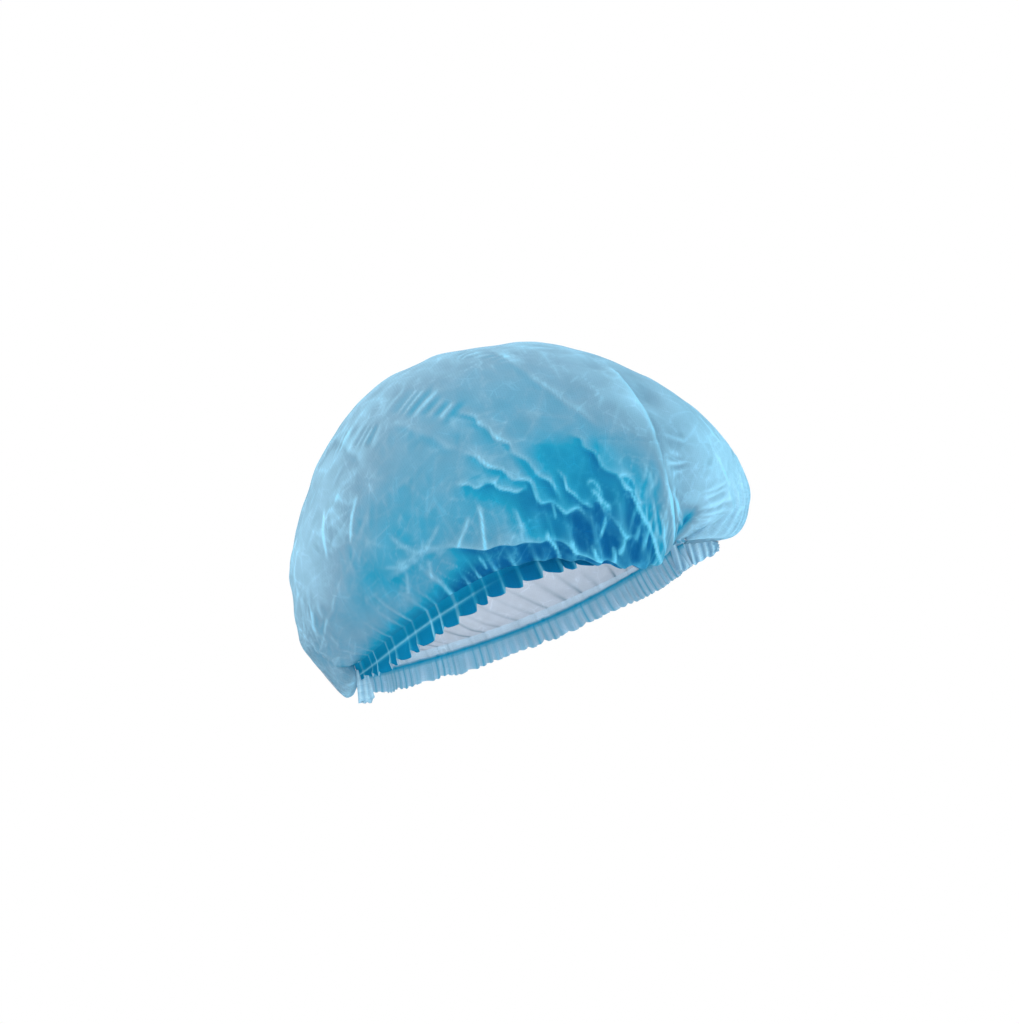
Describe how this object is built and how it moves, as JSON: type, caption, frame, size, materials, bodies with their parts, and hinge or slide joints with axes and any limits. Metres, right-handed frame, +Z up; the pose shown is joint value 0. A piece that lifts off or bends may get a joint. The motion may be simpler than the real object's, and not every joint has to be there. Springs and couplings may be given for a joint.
{
  "type": "disposable hairnet",
  "caption": "Puffed disposable bouffant hair cap of pleated non-woven cloth, with elastic threads in frilled hems and welded tabs at the gathered ends.",
  "frame": {"origin": "middle of the opening, half way between the two end gathers, where the head sits", "axes": "+X level towards the forehead end, +Y to the far side, +Z up; the opening slopes up towards the forehead by 21.4 degrees, as worn"},
  "size_m": [0.2431, 0.1844, 0.1971],
  "materials": {
    "cap_cloth": "matte spunbond non-woven, pale blue, slightly see-through",
    "hem_cloth": "matte spunbond non-woven, doubled, pale blue",
    "elastic_thread": "matte, thin, teal through the cloth",
    "weld_film": "layers of non-woven pressed and welded flat, satin"
  },
  "bodies": {
    "root": {"crown": "cap_cloth", "hem_near": "hem_cloth", "hem_far": "hem_cloth", "elastic_near": "elastic_thread", "elastic_far": "elastic_thread", "weld_nape": "weld_film", "weld_brow": "weld_film"}
  },
  "joints": []
}
